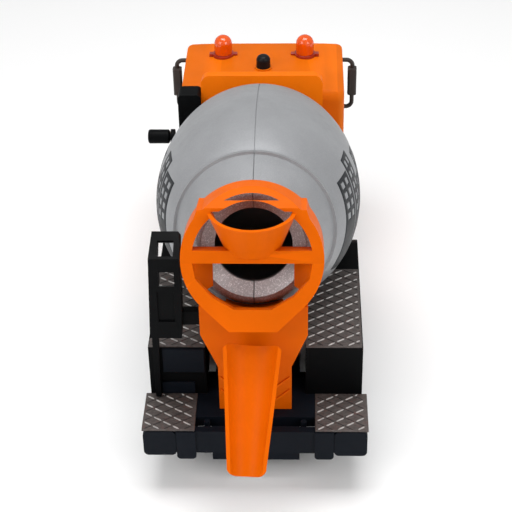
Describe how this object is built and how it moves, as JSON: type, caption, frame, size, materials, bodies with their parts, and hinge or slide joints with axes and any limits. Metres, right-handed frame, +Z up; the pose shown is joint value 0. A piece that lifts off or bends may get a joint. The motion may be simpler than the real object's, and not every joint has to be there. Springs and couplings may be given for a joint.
{
  "type": "toy cement mixer truck",
  "caption": "Toy truck mixer with a crank-driven turning drum, hopper hood, swivelling chute, folding ladder, roof button with beacons and rolling axles",
  "frame": {"origin": "on the floor, on the centre plane, in the tyres' contact plane, 118 mm forward of the drum's mouth", "axes": "+Y towards the cab, +X to the truck's right seen from behind, +Z up"},
  "size_m": [0.1206, 0.3163, 0.1619],
  "materials": {
    "orange_plastic": "glossy moulded plastic",
    "black_plastic": "satin moulded plastic",
    "slate_plastic": "satin blue-grey moulded plastic",
    "silver_drum": "fine metallic silver paint",
    "tread_grey": "matt grey print over raised bars",
    "amber_lens": "translucent amber",
    "red_base": "dark red",
    "mirror_grey": "satin grey-brown",
    "window_glass": "tinted clear plastic",
    "headlight_glass": "clear ribbed lens",
    "tyre_rubber": "matt rubber",
    "rim_silver": "silver paint",
    "steel": "drawn steel",
    "board_green": "solder mask",
    "speaker_black": "pressed steel frame and paper cone"
  },
  "bodies": {
    "truck": {"air_stack": "black_plastic", "air_tanks": "slate_plastic", "battery_box": "black_plastic", "battery_cells": "steel", "battery_cover": "slate_plastic", "beacon_bases": "red_base", "beacon_left": "amber_lens", "beacon_right": "amber_lens", "button_spring": "steel", "cab_glazing": "window_glass", "cab_interior": "black_plastic", "cab_shell": "orange_plastic", "chassis_frame": "slate_plastic", "collector_ring": "orange_plastic", "fender_left": "black_plastic", "fender_right": "black_plastic", "frame_screws": "steel", "front_bumper": "slate_plastic", "front_grille": "slate_plastic", "front_pedestal": "orange_plastic", "fuel_tank": "black_plastic", "headlight_lenses": "headlight_glass", "hopper_hood": "orange_plastic", "mirror_left": "mirror_grey", "mirror_right": "mirror_grey", "pedestal_cover": "orange_plastic", "rear_bumper": "slate_plastic", "rear_lockers": "slate_plastic", "rear_pedestal": "orange_plastic", "sound_board": "board_green", "speaker": "speaker_black", "step_left": "black_plastic", "step_right": "black_plastic", "tread_lower_left": "tread_grey", "tread_lower_right": "tread_grey", "tread_upper_left": "tread_grey", "tread_upper_right": "tread_grey"},
    "drum": {"drum_shell_left": "silver_drum", "drum_shell_right": "silver_drum", "drum_shaft": "black_plastic", "crown_gear": "black_plastic"},
    "crank": {"crank_shaft": "black_plastic", "crank_pinion": "black_plastic", "crank_arm": "black_plastic"},
    "knob": {"crank_knob": "black_plastic"},
    "button": {"roof_button": "slate_plastic"},
    "chute_post": {"chute_swivel": "orange_plastic"},
    "chute_trough": {"chute": "orange_plastic", "chute_pin": "steel"},
    "ladder_body": {"ladder": "black_plastic"},
    "front_wheels": {"front_axle": "steel", "front_rims": "rim_silver", "front_tyres": "tyre_rubber"},
    "mid_wheels": {"mid_axle": "steel", "mid_rims": "rim_silver", "mid_tyres": "tyre_rubber"},
    "rear_wheels": {"rear_axle": "steel", "rear_rims": "rim_silver", "rear_tyres": "tyre_rubber"}
  },
  "joints": [
    {"name": "drum_spin", "type": "hinge", "parent": "truck", "child": "drum", "pos_m": [0, -0.118, 0.127], "axis": [0, 0.9659, -0.2588], "continuous": true},
    {"name": "crank_turn", "type": "hinge", "parent": "truck", "child": "crank", "pos_m": [0, 0.04234, 0.08404], "axis": [1, 0, 0], "continuous": true},
    {"name": "knob_spin", "type": "hinge", "parent": "crank", "child": "knob", "pos_m": [-0.0582, 0.02504, 0.10514], "axis": [1, 0, 0], "continuous": true},
    {"name": "button_press", "type": "slide", "parent": "truck", "child": "button", "axis": [0, 0, -1], "range_m": [0, 0.002], "stiffness_N_per_m": 300, "springref_m": -0.001, "deforming": ["button_spring"]},
    {"name": "chute_swing", "type": "hinge", "parent": "truck", "child": "chute_post", "pos_m": [0, -0.1412, 0.0764], "axis": [0, 0, 1], "range_deg": [-30, 30]},
    {"name": "chute_tilt", "type": "hinge", "parent": "chute_post", "child": "chute_trough", "pos_m": [0, -0.1412, 0.0764], "axis": [0.9984, -0.0558, 0], "range_deg": [-12, 15]},
    {"name": "ladder_fold", "type": "hinge", "parent": "truck", "child": "ladder_body", "pos_m": [-0.03, -0.124, 0.0915], "axis": [-1, 0, 0], "range_deg": [0, 15]},
    {"name": "front_roll", "type": "hinge", "parent": "truck", "child": "front_wheels", "pos_m": [0, 0.084, 0.021], "axis": [1, 0, 0], "continuous": true},
    {"name": "mid_roll", "type": "hinge", "parent": "truck", "child": "mid_wheels", "pos_m": [0, -0.042, 0.021], "axis": [1, 0, 0], "continuous": true},
    {"name": "rear_roll", "type": "hinge", "parent": "truck", "child": "rear_wheels", "pos_m": [0, -0.09, 0.021], "axis": [1, 0, 0], "continuous": true}
  ],
  "couplings": [
    {"joint": "crank_turn", "follows": "drum_spin", "ratio": -3}
  ]
}
